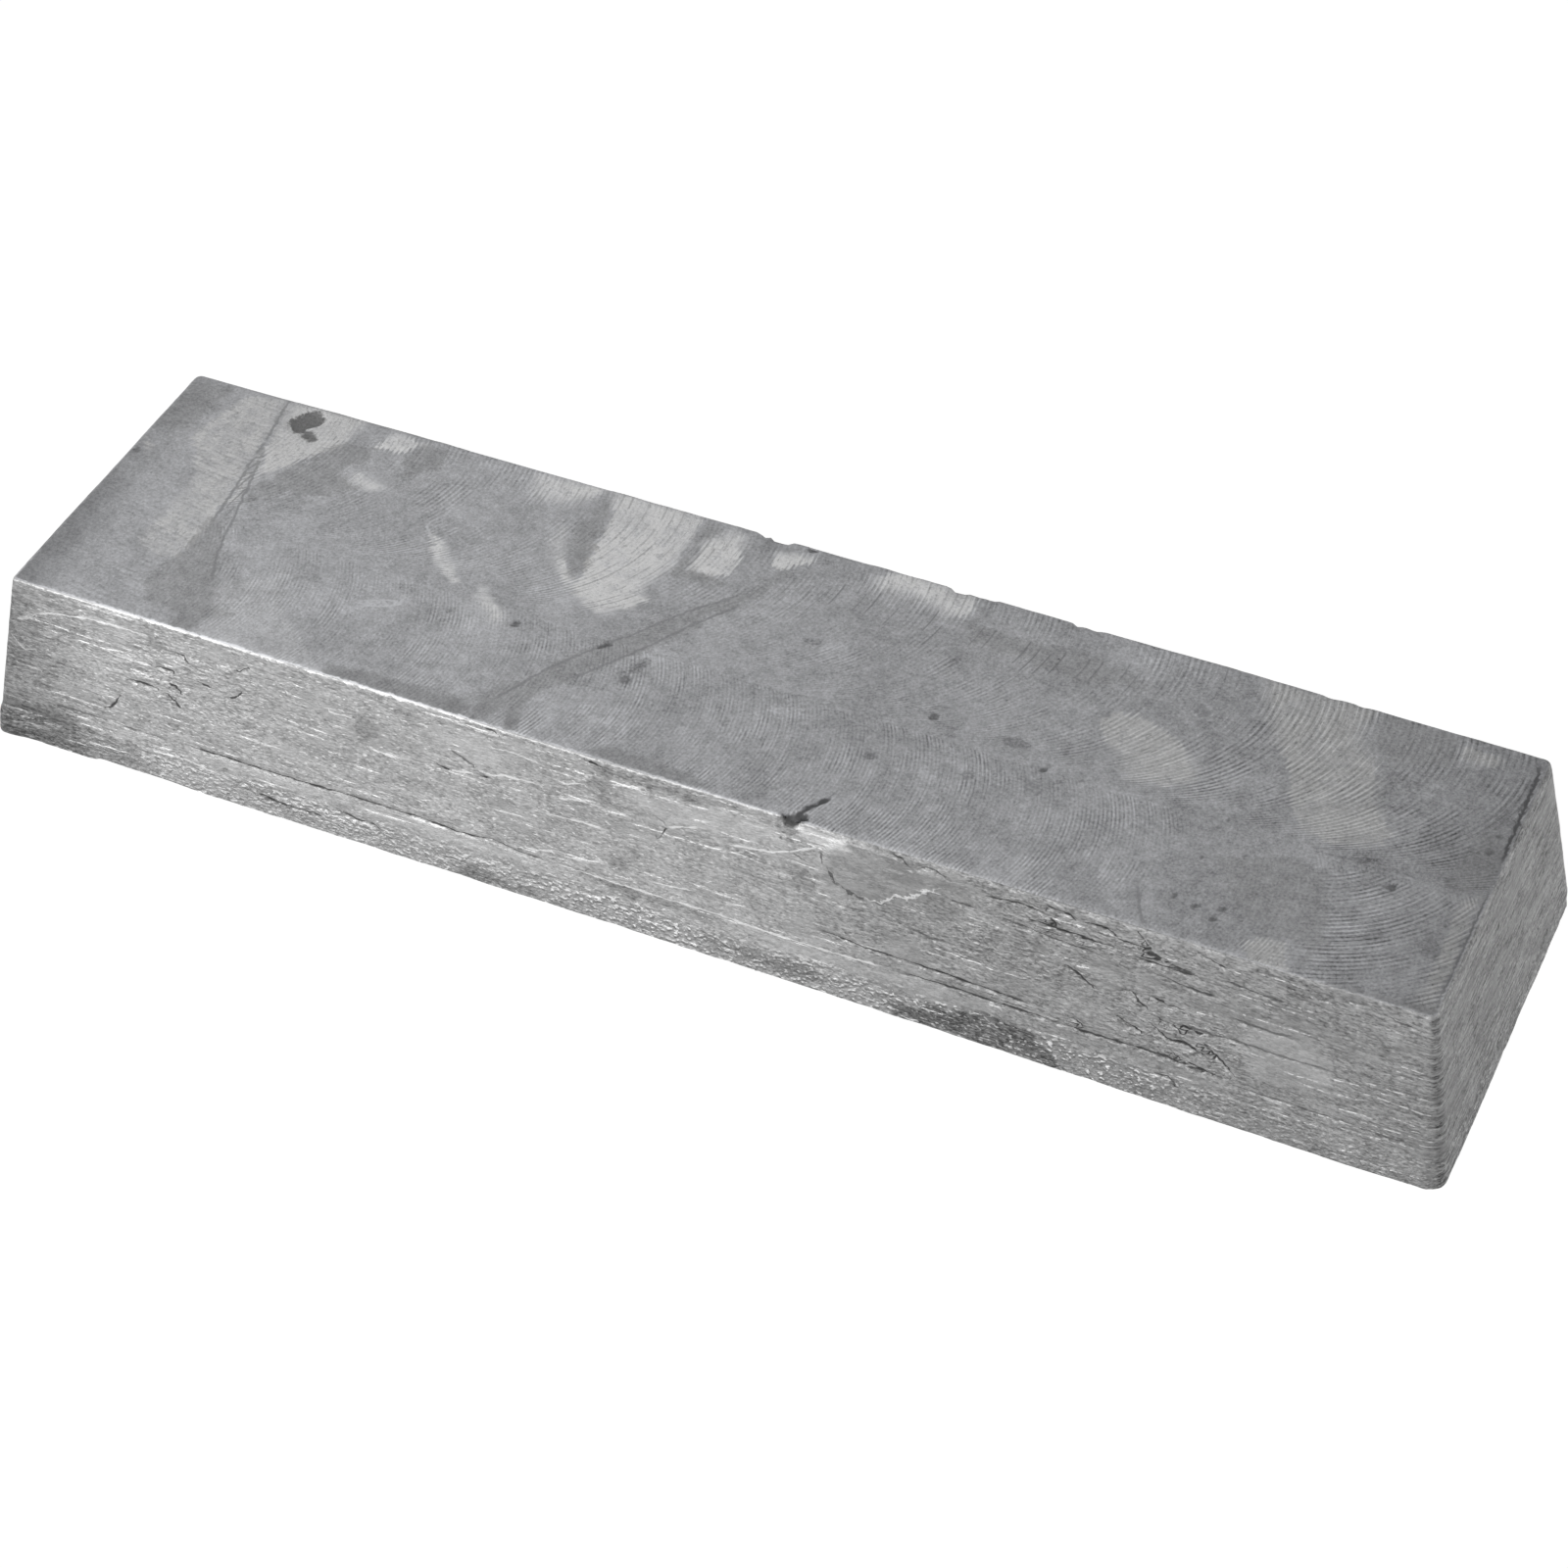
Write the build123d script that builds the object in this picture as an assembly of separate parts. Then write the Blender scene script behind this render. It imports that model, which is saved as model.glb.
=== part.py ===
from build123d import *
import os
from math import cos, radians, sin, tan

# One bar of soft grey metal, cast in an open mould and turned out to lie pour side down.
# Millimetres. X runs along the bar, Y to its back, Z up. The origin is on the floor under its middle.

# Body, measured at the foot, where the mould was open
foot_length = 300.8
foot_width = 81.4
height = 38.4
end_draft = 10.15  # degrees that each end leans in
side_draft = 8.05  # degrees that each long side leans in

# Corners and edges
top_corner_radius = 1.6  # in plan, at the mould's floor
foot_corner_radius = 2.8  # in plan, at the mould's mouth
top_edge_radius = 0.7
foot_edge_radius = 0.8

# Hollow of the pour side, which sank between the two ends as the metal cooled
sink_length = 246.0
sink_depth = 0.8

# Cold shut that breaks the front top edge
notch_width = 5.2
notch_depth = 3.6
notch_place_share = 0.169  # of half the top's length, from its middle

# Bruises along the back top edge
chip_length = 7.4
chip_depth = 1.0
chip_place_shares = (-0.084, 0.184, 0.353)  # of half the top's length, from its middle
chip_size_shares = (1.0, 0.85, 0.55)  # of the largest chip

# Blowhole in the top face, near its back left corner
blowhole_width = 6.0
blowhole_depth = 0.7
blowhole_place_shares = (-0.803, 0.866)  # of half the top's length and width, from its middle

overrun = 2.0  # how far each cut reaches past the face that it opens

top_length = foot_length - 2 * height * tan(radians(end_draft))
top_width = foot_width - 2 * height * tan(radians(side_draft))


def outline(length, width, corner_radius, level):
    return Pos(0, 0, level) * RectangleRounded(length, width, corner_radius)


def dish_radius(width, depth):
    # Radius of the round hollow that has this width and depth at a flat face.
    return (width**2 / 4 + depth**2) / (2 * depth)


def arris(place_share, back):
    # A point of a long top edge, and the way straight out of the metal there.
    side = 1 if back else -1
    lean = radians(side_draft)
    point = Vector(place_share * top_length / 2, side * top_width / 2, height)
    out = Vector(0, side * cos(lean), 1 + sin(lean)).normalized()
    return point, out


def cast_body():
    foot = outline(foot_length, foot_width, foot_corner_radius, 0)
    top = outline(top_length, top_width, top_corner_radius, height)
    body = loft([foot, top], ruled=True)
    body = fillet(body.faces().sort_by(Axis.Z)[-1].edges(), top_edge_radius)
    return fillet(body.faces().sort_by(Axis.Z)[0].edges(), foot_edge_radius)


def pour_hollow():
    # A long low arch, cut right across the pour side.
    start, crown, end = (-sink_length / 2, 0), (0, sink_depth), (sink_length / 2, 0)
    low_end, low_start = (sink_length / 2, -overrun), (-sink_length / 2, -overrun)
    profile = ThreePointArc(start, crown, end) + Polyline(end, low_end, low_start, start)
    section = Plane.XZ * make_face(profile)
    return extrude(section, foot_width / 2 + overrun, both=True)


def cold_shut():
    # A pointed hole, widest at the edge, that runs down into the metal.
    point, out = arris(notch_place_share, back=False)
    mouth_radius = notch_width / 2 * (notch_depth + overrun) / notch_depth
    reach = notch_depth + overrun
    middle = point + out * (overrun - reach / 2)
    return Plane(middle, z_dir=-out) * Cone(mouth_radius, 0, reach)


def edge_chips():
    chips = []
    for place_share, size_share in zip(chip_place_shares, chip_size_shares):
        point, out = arris(place_share, back=True)
        depth = chip_depth * size_share
        radius = dish_radius(chip_length * size_share, depth)
        chips.append(Pos(point + out * (radius - depth)) * Sphere(radius))
    return chips


def blowhole():
    length_share, width_share = blowhole_place_shares
    radius = dish_radius(blowhole_width, blowhole_depth)
    middle = Vector(length_share * top_length / 2, width_share * top_width / 2, height)
    return Pos(middle + Vector(0, 0, radius - blowhole_depth)) * Sphere(radius)


ingot = cast_body() - [pour_hollow(), cold_shut(), blowhole(), *edge_chips()]

os.makedirs("parts", exist_ok=True)
export_step(ingot, "parts/ingot.step")
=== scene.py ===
import math
import random
import bpy
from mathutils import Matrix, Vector


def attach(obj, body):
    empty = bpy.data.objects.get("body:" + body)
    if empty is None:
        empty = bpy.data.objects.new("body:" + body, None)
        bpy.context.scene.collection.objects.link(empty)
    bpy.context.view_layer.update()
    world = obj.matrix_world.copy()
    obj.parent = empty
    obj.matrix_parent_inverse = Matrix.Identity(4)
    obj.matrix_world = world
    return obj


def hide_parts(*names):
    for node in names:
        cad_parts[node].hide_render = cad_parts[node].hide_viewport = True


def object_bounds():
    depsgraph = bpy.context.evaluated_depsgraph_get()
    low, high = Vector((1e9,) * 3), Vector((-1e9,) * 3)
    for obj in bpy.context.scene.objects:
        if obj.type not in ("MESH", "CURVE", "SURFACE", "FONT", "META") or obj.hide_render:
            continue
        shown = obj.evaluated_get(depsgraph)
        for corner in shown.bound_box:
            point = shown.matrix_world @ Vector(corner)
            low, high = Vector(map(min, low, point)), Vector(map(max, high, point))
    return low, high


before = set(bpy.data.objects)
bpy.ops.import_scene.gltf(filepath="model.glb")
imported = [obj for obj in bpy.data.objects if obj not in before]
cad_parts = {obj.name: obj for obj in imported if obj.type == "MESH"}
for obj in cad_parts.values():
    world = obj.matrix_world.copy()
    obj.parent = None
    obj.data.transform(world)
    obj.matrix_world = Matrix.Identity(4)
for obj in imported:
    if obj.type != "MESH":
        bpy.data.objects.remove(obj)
cadLow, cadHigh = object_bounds()
scene = bpy.context.scene
mm = 0.001
print("frame loaded:", len(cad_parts), "node,", [round(side / mm, 1) for side in cadHigh - cadLow], "mm")


class Wire:  # a node's output that takes part in sums
    def __init__(self, bench, node, socket):
        self.bench, self.node, self.socket = bench, node, socket

    def math(self, operation, *others):
        return self.bench.math(operation, self, *others)

    def out(self, name):
        return Wire(self.bench, self.node, self.node.outputs[name])

    def most(self, other):
        return self.math("MAXIMUM", other)

    def least(self, other):
        return self.math("MINIMUM", other)

    def ramp(self, low, high):  # smooth 0 to 1 as the value goes from low to high
        return self.bench.node("ShaderNodeMapRange", {"interpolation_type": "SMOOTHSTEP"},
                               {"Value": self, "From Min": low, "From Max": high})

    def __neg__(self):
        return self.math("MULTIPLY", -1.0)

    def __abs__(self):
        return self.math("ABSOLUTE")


def operator(operation, reflected):
    def combine(wire, other):
        return wire.bench.math(operation, other, wire) if reflected else wire.math(operation, other)

    return combine


signs = {"add": "ADD", "sub": "SUBTRACT", "mul": "MULTIPLY", "truediv": "DIVIDE", "pow": "POWER"}
for sign, operation in signs.items():
    setattr(Wire, f"__{sign}__", operator(operation, False))
    setattr(Wire, f"__r{sign}__", operator(operation, True))


class Bench:  # builds nodes in one tree
    def __init__(self, tree):
        self.tree = tree

    def node(self, kind, settings=None, values=None, out=0):
        node = self.tree.nodes.new(kind)
        for name, setting in (settings or {}).items():
            setattr(node, name, setting)
        for name, value in (values or {}).items():
            if isinstance(value, Wire):
                self.tree.links.new(value.socket, node.inputs[name])
            else:
                node.inputs[name].default_value = value
        return Wire(self, node, node.outputs[out] if node.outputs else None)

    def math(self, operation, *values):
        return self.node("ShaderNodeMath", {"operation": operation}, dict(enumerate(values)))

    def vector(self, x, y, z):
        return self.node("ShaderNodeCombineXYZ", {}, {"X": x, "Y": y, "Z": z})

    def split(self, vector):
        parts = self.node("ShaderNodeSeparateXYZ", {}, {"Vector": vector})
        return parts.out("X"), parts.out("Y"), parts.out("Z")

    def noise(self, x, y, z, detail=2.0, roughness=0.5):  # the place is in the noise's own cells
        return self.node("ShaderNodeTexNoise", {"noise_dimensions": "3D"}, {
            "Vector": self.vector(x, y, z), "Scale": 1.0, "Detail": detail, "Roughness": roughness})


def mix(start, end, share):
    return start + (end - start) * share


# Marks drawn on the faces, in mm. Front face: along the bar from its middle, and height.
# Top face: along the bar and across it, from its middle.
# A stroke with a depth below 0 is a bright scuff. Light and dark are areas of film.
frontStrokes = [  # each a depth, then its points
    (0.2, (-141, 10.9), (-128.2, 11.3), (-114.5, 11.1), (-106.2, 11.3)),
    (0.42, (-106.2, 11.3), (-97.4, 11.5), (-88.7, 11.3), (-77.1, 11.6), (-67.3, 11.8), (-53.7, 11.8),
     (-46.7, 11.5), (-42, 11.6), (-38.3, 12.3), (-36, 11.9), (-32.8, 11.3), (-25.9, 11.4)),
    (-0.2, (-25.9, 11.5), (-11.9, 11.2), (-1.2, 11.4), (9.3, 11.6), (18.4, 11.2), (31.9, 11.2),
     (43.4, 11.8)),
    (0.3, (43.4, 11.7), (56.6, 12), (76, 11.7), (98, 11.7), (107, 10.4)),
    (0.2, (107, 10.4), (128, 9.9), (146, 9.5)),
    (0.36, (26.7, 15.7), (37, 14.9), (49.4, 14.6), (62.5, 14.4), (73.5, 13.6)),
    (0.42, (-116.8, 22.8), (-114.7, 23.1), (-112.1, 23.1)),
    (0.42, (-111.2, 28), (-109.4, 28.3), (-107.7, 28)), (0.42, (-108.2, 24.8), (-107, 25), (-106.2, 23.9)),
    (0.36, (-109.2, 22.3), (-106.9, 20.2)), (0.42, (-120.3, 18.3), (-121.3, 16.4), (-123, 14.2)),
    (0.36, (-106.9, 32.4), (-105.1, 32.4), (-104.5, 31.4)), (0.36, (-92.7, 32.8), (-90.9, 34.3)),
    (0.42, (-95, 26), (-93.8, 26.7), (-92.3, 28.4)), (0.36, (-101.3, 27.3), (-99.6, 27.2)),
    (0.36, (-49.8, 25.6), (-47.5, 25.2)), (0.36, (-40.4, 26.2), (-39.3, 26.2)),
    (0.25, (-46.6, 29.7), (-42.9, 28.2)), (0.36, (-18.7, 37.2), (-16.9, 36.9)),
    (0.36, (-39.8, 37.4), (-37.5, 37)),
    (0.34, (-4.6, 29.4), (-2.9, 28.6), (-2.2, 27.9), (-3.2, 26), (-3.9, 24.5)),
    (0.34, (22.4, 31.1), (23.2, 30.6), (24.6, 30.2)), (0.26, (53.8, 35.9), (50.3, 37.1), (46.1, 35.8)),
    (0.34, (46.1, 35.5), (44.2, 37.2), (41.5, 37.8)),
    (0.3, (-72, 7.2), (-68, 6.4), (-63.6, 6.2), (-62, 5.2)),
    (0.3, (-92, 5.6), (-87, 4.8), (-80, 4.4), (-74, 4.6)),
    (0.34, (59.5, 34.4), (63.3, 35), (67.3, 35.2), (69.8, 35.2), (73.3, 34.7)),
    (0.5, (67.8, 32.6), (71.2, 32.4), (74.6, 32.4), (78.4, 32.5), (82.2, 32)),
    (0.5, (72.5, 36.6), (76.3, 36.2), (77.7, 35.3)), (0.4, (73.1, 34.6), (74.1, 33)),
    (0.5, (79.4, 35.5), (81.8, 35.9), (83.8, 35.8), (86.3, 34.2)),
    (0.36, (76.6, 32.2), (81.9, 32), (85.6, 32.1)), (0.5, (86.6, 34.3), (88.8, 34), (91.2, 34.1)),
    (0.36, (89.4, 36.8), (90.8, 35.5), (91.8, 34.4)), (0.4, (91.3, 33.1), (93.8, 32.4)),
    (0.35, (101, 36.3), (105.6, 35.2), (107.1, 34.5)), (0.42, (77.4, 24.7), (79.6, 24), (81.9, 22.3)),
    (0.6, (88, 23.2), (89.6, 23.7), (90.8, 22.7)), (0.2, (45.3, 22.4), (51.5, 21.6), (56.2, 21.8)),
    (0.16, (31.2, 22.8), (39.1, 22.7)), (0.22, (52.4, 31.8), (55, 31.2), (59.3, 31.3)),
    (0.5, (90.9, 22), (92.8, 21.3)), (0.45, (93.5, 23.9), (95.4, 23.6)),
    (0.25, (95.8, 23.4), (98.3, 23.2), (100.8, 22.8)), (0.4, (95.6, 19.4), (97.8, 19.2), (99.2, 18.1)),
    (0.4, (79.2, 13.9), (80.5, 13.4)), (0.5, (99.4, 19.9), (102.5, 19)),
    (0.42, (104, 17.2), (107.5, 14.6), (110, 12.6)),
    (0.55, (93.4, 18.4), (97.3, 15.6), (99.8, 16.2), (102.4, 15.4), (105, 14.6)),
    (0.55, (98, 13.4), (100.4, 12), (103, 11.8), (106.1, 11.2), (108, 11.2)),
    (0.4, (87.6, 17.3), (91.6, 15.7)), (0.3, (96.4, 7), (98, 7.6), (99.5, 6.3)),
    (0.2, (99.5, 19.9), (115, 20.1), (130, 19.9)), (0.24, (134, 36.2), (137, 35), (141, 34.8)),
    (0.28, (87.2, 31.8), (92.7, 31.4), (97, 31.4), (101, 31.2), (103.8, 30.5)),
    (0.3, (90, 34.8), (93, 33.2), (97, 32), (102, 31.4)),
    (0.26, (62, 31.2), (70, 30.4), (77, 30), (84, 29.6)), (0.24, (92, 29.4), (99, 28.4), (107, 28.2)),
    (0.24, (104, 32.6), (112, 31.8), (121, 31.6)), (0.22, (106, 25), (115, 24.4), (122, 24.6)),
    (-0.12, (-143.1, 29.6), (-135.6, 32.7), (-126.7, 34.2), (-117.8, 34.6), (-110.8, 34.4)),
    (-0.2, (-144.1, 24.7), (-141.8, 22.3), (-139.4, 23)), (-0.15, (-143.4, 18.5), (-138.5, 18.5)),
    (-0.2, (-143.1, 29), (-138.8, 30.6)), (-0.2, (-121.8, 27.9), (-115.9, 27.7), (-112, 27.9)),
    (-0.1, (-146.8, 7.1), (-143.1, 7.3)), (-0.1, (-146.7, 3.9), (-142.1, 4.5), (-137.8, 4.3)),
    (-0.12, (-114.2, 7.2), (-106.4, 7.9), (-97, 6.8)), (-0.15, (-73, 30.1), (-68.3, 30.4)),
    (-0.15, (-63.8, 24.4), (-59.6, 24.3)), (-0.2, (-47.5, 25.3), (-42.9, 26.2)),
    (-0.2, (-39.2, 26.8), (-36.1, 28.1), (-32.9, 28.2), (-28.4, 28.5)),
    (-0.2, (-38.4, 33.5), (-35.2, 33.8), (-33.9, 33.8), (-29.3, 33.4)),
    (-0.15, (-23.9, 30.3), (-19.4, 31.8)), (-0.2, (-23.8, 26.8), (-20.7, 27.7), (-15.3, 27.8)),
    (-0.15, (-28.3, 22.3), (-21.5, 22.9), (-14.8, 22.8)),
    (-0.15, (-38.8, 19.6), (-35.1, 19.7), (-31.5, 19.9)), (-0.2, (-31, 13), (-29.1, 13.2), (-25.9, 14.1)),
    (-0.2, (-22.7, 13.9), (-19.1, 14.2), (-15.1, 15.4)), (-0.15, (-13.3, 33.6), (-7, 35.1)),
    (-0.15, (-4.5, 14.2), (-0.5, 14.7), (3.7, 15.4)), (-0.1, (-2.2, 27.9), (0.9, 29), (4.2, 30.2)),
    (-0.2, (9, 28.1), (14.4, 28.9), (18.8, 29.7), (22.7, 31.1), (28.3, 34.3)),
]
frontFolds = [  # flaps of skin that lie proud of the face
    [(28.1, 34.3), (28.9, 31.1), (32.2, 27.3), (34.7, 26.2), (38.1, 25.3), (41.1, 25.9), (44, 28.7),
     (45.7, 28.6), (49, 30.8), (53.5, 34.4), (53.8, 36), (50.3, 37.2), (46.1, 36.2), (44.2, 37.4),
     (39.9, 37.8), (33.4, 37.4)],
]
frontBlots = [  # along, up, radius, depth
    (-65.7, 28.7, 2.4, 0), (-16.3, 33.2, 1.9, 0), (-15.6, 30.2, 1.5, 0), (-11.5, 16, 1.6, 0),
    (-9.1, 20, 1.1, 0), (25.6, 25, 2.6, 0.1), (-97, 8.5, 1.1, 0), (-118.5, 5.6, 1.8, 0.1),
    (51.3, 28.7, 2.8, 0), (88.5, 22.6, 1.3, 0.4), (-111, 33.2, 1.6, 0.1), (21.6, 35.4, 1.6, 0),
    (21.9, 33.6, 0.9, 0),
]
frontLight = [
    [(-52, 34), (-40, 35.5), (-36, 31), (-42, 28), (-50, 29.5)],
    [(-10, 33), (5, 35), (20, 35.5), (22, 32), (5, 29.5), (-6, 29)],
    [(112, 26), (120, 27), (128, 22), (127, 15), (115, 13.5), (110, 18)],
    [(-106, 10.6), (-60, 10.9), (-30, 10.8), (-28, 9), (-60, 9), (-95, 9)],
    [(14, 10.9), (32, 10.9), (48, 11.4), (64, 11.2), (65, 9), (56, 6.6), (40, 8), (16, 9)],
    [(23.6, 37.4), (33, 37), (35, 35.6), (29, 34.4), (24, 34.8)],
]
frontDark = [
    [(43, 3.6), (52.7, 5.8), (63.7, 8.8), (70.8, 7.6), (75, 4.6), (78, 2), (78.6, 0.5), (46, 0.5)],
    [(-149, 9), (-138, 10.5), (-128, 8.5), (-118, 6), (-113, 2), (-120, 0), (-150, 0)],
    [(-46, 3.5), (-38, 4), (-30, 2.5), (-24, 0.5), (-46, 0.5)],
    [(5, 6), (20, 6.6), (36, 4.6), (30, 2.5), (10, 3)],
    [(-17, 37), (-6, 37.7), (5, 38), (12, 37.4), (6, 35.8), (1.6, 34.5), (-1.1, 35.6), (-10, 35.4),
     (-16, 35.4)],
    [(-22, 11), (-8, 10.7), (4, 11.2), (12, 11.2), (8, 9.8), (-4, 9), (-14, 9.6)],
    [(116, 36.8), (126, 37), (124, 33.6), (117, 33.8)],
]
topStrokes = [
    (0.1, (-122.3, 39.5), (-119.9, 23.5), (-118.7, 14.7), (-117.7, 6.9), (-117, 2.1), (-116.5, -3.3),
     (-116, -8.6)),
    (0.12, (-119.4, 21.5), (-117.7, 16.7), (-115.8, 8.9), (-114.3, 3.1), (-113.1, -2.3), (-112.2, -6.7),
     (-110.7, -12.5), (-108, -19.3), (-106.1, -22.3)),
    (-0.15, (-77, 11), (-75.4, 9.2), (-73.6, 7.3)),
    (-0.15, (-79, -14.9), (-76.6, -13), (-73.6, -11.6), (-70.6, -10.9), (-69.4, -11)),
    (-0.15, (-79, -14.9), (-75.8, -14.4), (-72.6, -13), (-69.4, -11)),
    (0.7, (22.4, -33.9), (24.1, -31), (26.7, -27)),
    (0.44, (140.6, 37), (142, 31), (142.3, 20), (142.5, 10), (142.8, 1)),
    (0.33, (142.8, 2), (142.8, -12), (142.7, -34)), (0.1, (85, -24), (87.4, -30.5), (90.3, -35)),
    (0.09, (-44, -33), (-36.3, -16.4), (-31.9, -9.6), (-26.6, -2.3), (-19.8, 7.9), (-14.9, 13.8),
     (-10.6, 19.6)),
    (0.09, (-34.4, -22.7), (-31.4, -17.4), (-26.6, -11.1), (-22.7, -4.7), (-18.3, 3.1), (-12, 12.8),
     (-8.1, 18.6)),
]
topBlots = [  # along, across, radius, depth
    (-114.4, 31.2, 2.6, 0.6), (-115.8, 29.2, 2.4, 0.6), (-115.2, 27.6, 1.4, 0.5), (-112.8, 26.4, 1, 0.35),
    (-111.2, 25.7, 0.9, 0.3), (-112.2, 27.4, 0.6, 0.3), (35.3, 0.4, 0.9, 0.3), (52.4, 0, 1.5, 0.1),
    (50.4, -0.3, 1.1, 0.1), (54.4, -0.4, 0.8, 0.1), (7, 10.9, 0.9, 0.1), (5.2, 10.3, 0.9, 0.1),
    (47.2, -11.6, 1.3, 0), (28.7, -14.2, 1.1, 0.15), (-20.4, -7.6, 1.1, 0.15), (-21.2, -10.2, 1.1, 0.15),
    (-21.7, -13.5, 1, 0.2), (-23, -12.2, 0.6, 0.15), (126.8, -7.7, 0.8, 0.45), (125.6, -8.1, 0.5, 0.3),
    (80.4, 21.6, 1.4, 0), (70, 20, 1.2, 0), (92.4, -25.4, 0.6, 0.3), (96.6, -26.4, 0.7, 0.3),
    (100.5, -27.9, 0.7, 0.3), (101.2, -25.2, 0.6, 0.25), (93.4, -6.2, 0.4, 0.2), (100.7, -11.1, 0.5, 0.2),
    (94.6, -3.3, 0.4, 0.2), (114.8, -2.2, 0.4, 0.3), (-28.8, -6.2, 0.7, 0.4), (-30, -7, 0.5, 0.3),
    (-47.8, -7.7, 0.8, 0.45), (-61, -9.4, 0.9, 0), (59.1, -4.6, 0.6, 0.4), (66.6, -4.7, 0.4, 0.2),
    (43.5, 24.2, 0.8, 0), (18.8, -17.9, 0.5, 0), (-141.8, 8.6, 0.8, 0.2), (-4.7, 34.4, 0.8, 0.4),
    (63.6, 35, 0.5, 0.3), (66.2, 35, 0.7, 0.3), (140.4, 12, 0.6, 0.2), (139.9, 7.5, 0.7, 0.25),
    (-112, 4.7, 0.5, 0.2), (93.4, -14.5, 0.4, 0.2),
]
topLight = [
    [(-130.4, 32.2), (-121.9, 35.5), (-120.3, 23.5), (-119.1, 14.7), (-118.1, 6.9), (-117.4, 2.1),
     (-116.9, -3.3), (-117.3, -13), (-117.7, -16.9), (-123.1, -18.4), (-127, -15.4), (-127, -8.6),
     (-126, -3.8), (-126.2, 1.1), (-127, 6.9), (-130.4, 11.8), (-133.8, 17.6), (-132.3, 24.5)],
    [(-121, 35.5), (-103.7, 35.5), (-103.7, 31.8), (-104.6, 27.9), (-106.6, 23.5), (-110, 18.6),
     (-112.4, 14.7), (-114.3, 10.8), (-115.1, 7.9), (-117.2, 16.7), (-119, 22)],
    [(-119, 19.5), (-117.5, 15), (-116, 8), (-115.4, 3), (-116.4, 1.5), (-117.2, 7)],
    [(-97, 34.5), (-89, 33), (-92, 29), (-98, 28.6)], [(-98, 20), (-91, 18.2), (-92, 16.4), (-98, 16.8)],
    [(-64, 33.7), (-48.9, 35.5), (-51.8, 31.3), (-55.7, 28.4), (-62, 28.1), (-63.7, 30.3)],
    [(-48, 35.5), (-28, 35.5), (-27.6, 25.9), (-27.8, 18.6), (-29.3, 13.8), (-30, 9.9), (-27.8, 8.4),
     (-29.5, 5.5), (-32.4, 3.3), (-34.8, 0.9), (-37.3, 2.3), (-41.6, 4.5), (-44.1, 6.9), (-42.4, 9.4),
     (-43.3, 13.8), (-44.2, 18.6), (-44.3, 25.4), (-46, 29.8)],
    [(-51.8, 21.5), (-51.1, 17.6), (-48.9, 14.7), (-45.5, 9.9), (-43.1, 6.9), (-44.6, 6.5), (-48, 10.4),
     (-50.6, 13.8), (-52.3, 17.2), (-52.4, 20.6)],
    [(-25.1, 28.8), (-20.8, 32.7), (-18.3, 32.7), (-16.9, 26.9), (-16.4, 22), (-19.3, 19.6), (-24.6, 20.1)],
    [(-10.8, 30.8), (-3.8, 32.2), (-3.3, 31.5), (-5.2, 28.8), (-8.1, 26.9), (-11, 28.1)],
    [(9.3, 31.8), (11.7, 33.5), (17.6, 35.5), (29.2, 35.5), (30.9, 30.3), (29.7, 27.1), (26.5, 27.1),
     (24.4, 28.8), (18, 29.3), (11.7, 29.1)],
    [(63.8, 12), (65.6, 15), (70, 15.8), (77.5, 13.5), (83, 9), (85.5, 4), (81, 0), (74, -0.5), (71, 4),
     (66, 7.5)],
    [(88.3, 35.5), (110.7, 35.5), (108.2, 27.4), (115, 19.6), (116, 14.2), (120.9, 6.9), (122.8, 4.5),
     (121.8, 1.1), (113.1, -2.3), (107.3, -0.4), (104.3, 4), (102.4, 8.4), (100, 14.2), (96.1, 18.6),
     (91.7, 24.5)],
    [(127, 32.2), (135.5, 31.4), (135.5, 29.4), (128, 28.6)],
    [(-74.8, 9), (-72.4, 7.6), (-69.4, 4.8), (-66, 2.2), (-63.2, -1.4), (-64.9, -1.9), (-67.8, 0.3),
     (-71.4, 3.2)],
    [(-58.6, -0.6), (-56.2, -2.4), (-53.4, -5), (-50.4, -8), (-52, -8.4), (-55, -6), (-57.8, -3.2)],
    [(-142.6, 13.8), (-141.2, 12.9), (-139.4, 10.2), (-138.4, 8), (-139.6, 7.9), (-141.4, 10.8)],
    [(106.5, -31.5), (110, -29.5), (114, -28.5), (116.8, -35.4), (111, -35.6)],
    [(138.8, -6), (141.8, -4), (142.2, -33), (139.6, -33)],
    [(-106.1, -20.5), (-95.5, -14.1), (-89.7, -23.3), (-80.5, -29.9), (-74.1, -35.6), (-101.9, -35.6),
     (-102, -30.4)],
]
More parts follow.
